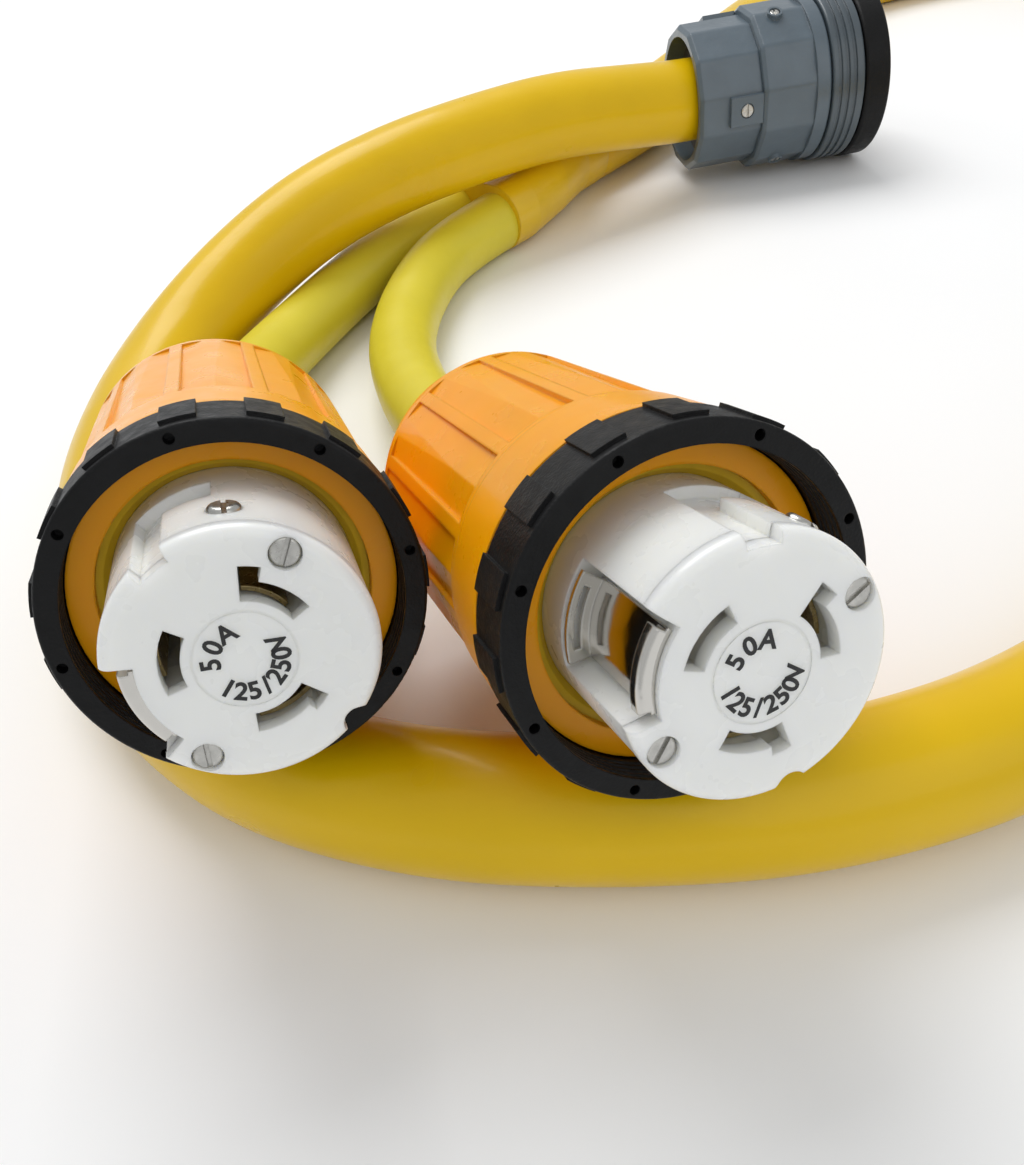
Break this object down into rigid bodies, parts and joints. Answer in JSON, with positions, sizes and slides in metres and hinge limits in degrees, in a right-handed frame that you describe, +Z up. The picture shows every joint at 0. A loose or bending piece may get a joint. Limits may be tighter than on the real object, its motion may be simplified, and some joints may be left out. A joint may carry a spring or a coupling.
{
  "type": "shore power cord",
  "caption": "Shore power adapter cord: large plug on a thick yellow cable, a moulded splitter and twin locking connectors with amber boots and black lock rings.",
  "frame": {"origin": "on the floor, under the middle of the box round the plug, the connectors and the splitter", "axes": "+Z up; the connectors face -Y, the plug's pins face +X"},
  "size_m": [0.6916, 0.7058, 0.1194],
  "materials": {
    "ring_black": "satin moulded plastic with a stippled grip",
    "boot_amber": "glossy moulded plastic",
    "gasket_yellow": "soft sealing ring",
    "nose_white": "milky white nylon",
    "body_grey": "moulded insulating body",
    "contact_brass": "plain",
    "ground_steel": "polished spring strip",
    "screw_steel": "plain slotted screws",
    "clamp_black": "moulded",
    "wire_insulation": "insulated conductors",
    "bushing_rubber": "soft rubber",
    "plug_grey": "blue-grey satin",
    "plug_ring_grey": "blue-grey satin",
    "splitter_yellow": "smooth moulding",
    "trunk_jacket": "glossy extruded jacket",
    "leg_jacket": "satin extruded jacket"
  },
  "bodies": {
    "cord_set": {"left_boot": "boot_amber", "left_boot_gasket": "gasket_yellow", "left_cable_bushing": "bushing_rubber", "left_cable_tail": "leg_jacket", "left_clamp_screws": "screw_steel", "left_conductors": "wire_insulation", "left_contact_w": "contact_brass", "left_contact_x": "contact_brass", "left_contact_y": "contact_brass", "left_cord_clamp_lower": "clamp_black", "left_cord_clamp_upper": "clamp_black", "left_face_cap": "nose_white", "left_face_screws": "screw_steel", "left_front_barrel": "nose_white", "left_ground_screw": "screw_steel", "left_ground_strip": "ground_steel", "left_leg_cable": "leg_jacket", "left_rear_body": "body_grey", "left_terminal_screws": "screw_steel", "plug_clamp_housing": "plug_grey", "plug_clamp_jaws": "clamp_black", "plug_clamp_screws": "screw_steel", "plug_collar": "ring_black", "plug_conductors": "wire_insulation", "plug_grommet": "bushing_rubber", "plug_ground_pin": "contact_brass", "plug_housing_screws": "screw_steel", "plug_line_pins": "contact_brass", "plug_mid_housing": "plug_grey", "plug_pin_carrier": "body_grey", "plug_pin_screws": "screw_steel", "plug_shroud": "ring_black", "right_boot": "boot_amber", "right_boot_gasket": "gasket_yellow", "right_cable_bushing": "bushing_rubber", "right_cable_tail": "leg_jacket", "right_clamp_screws": "screw_steel", "right_conductors": "wire_insulation", "right_contact_w": "contact_brass", "right_contact_x": "contact_brass", "right_contact_y": "contact_brass", "right_cord_clamp_lower": "clamp_black", "right_cord_clamp_upper": "clamp_black", "right_face_cap": "nose_white", "right_face_screws": "screw_steel", "right_front_barrel": "nose_white", "right_ground_screw": "screw_steel", "right_ground_strip": "ground_steel", "right_leg_cable": "leg_jacket", "right_rear_body": "body_grey", "right_terminal_screws": "screw_steel", "splitter": "splitter_yellow", "trunk_cable": "trunk_jacket"},
    "left_ring": {"left_lock_ring": "ring_black"},
    "right_ring": {"right_lock_ring": "ring_black"},
    "plug_ring": {"plug_turn_ring": "plug_ring_grey"}
  },
  "joints": [
    {"name": "left_ring_spin", "type": "hinge", "parent": "cord_set", "child": "left_ring", "pos_m": [-0.1059, -0.1884, 0.0825], "axis": [0.202, -0.9361, 0.288], "continuous": true},
    {"name": "right_ring_spin", "type": "hinge", "parent": "cord_set", "child": "right_ring", "pos_m": [-0.0182, -0.2092, 0.0804], "axis": [0.27, -0.9119, 0.309], "continuous": true},
    {"name": "plug_ring_turn", "type": "hinge", "parent": "cord_set", "child": "plug_ring", "pos_m": [0.13853, 0.2015, 0.038], "axis": [0.9962, 0.0872, 0], "range_deg": [0, 30]}
  ]
}
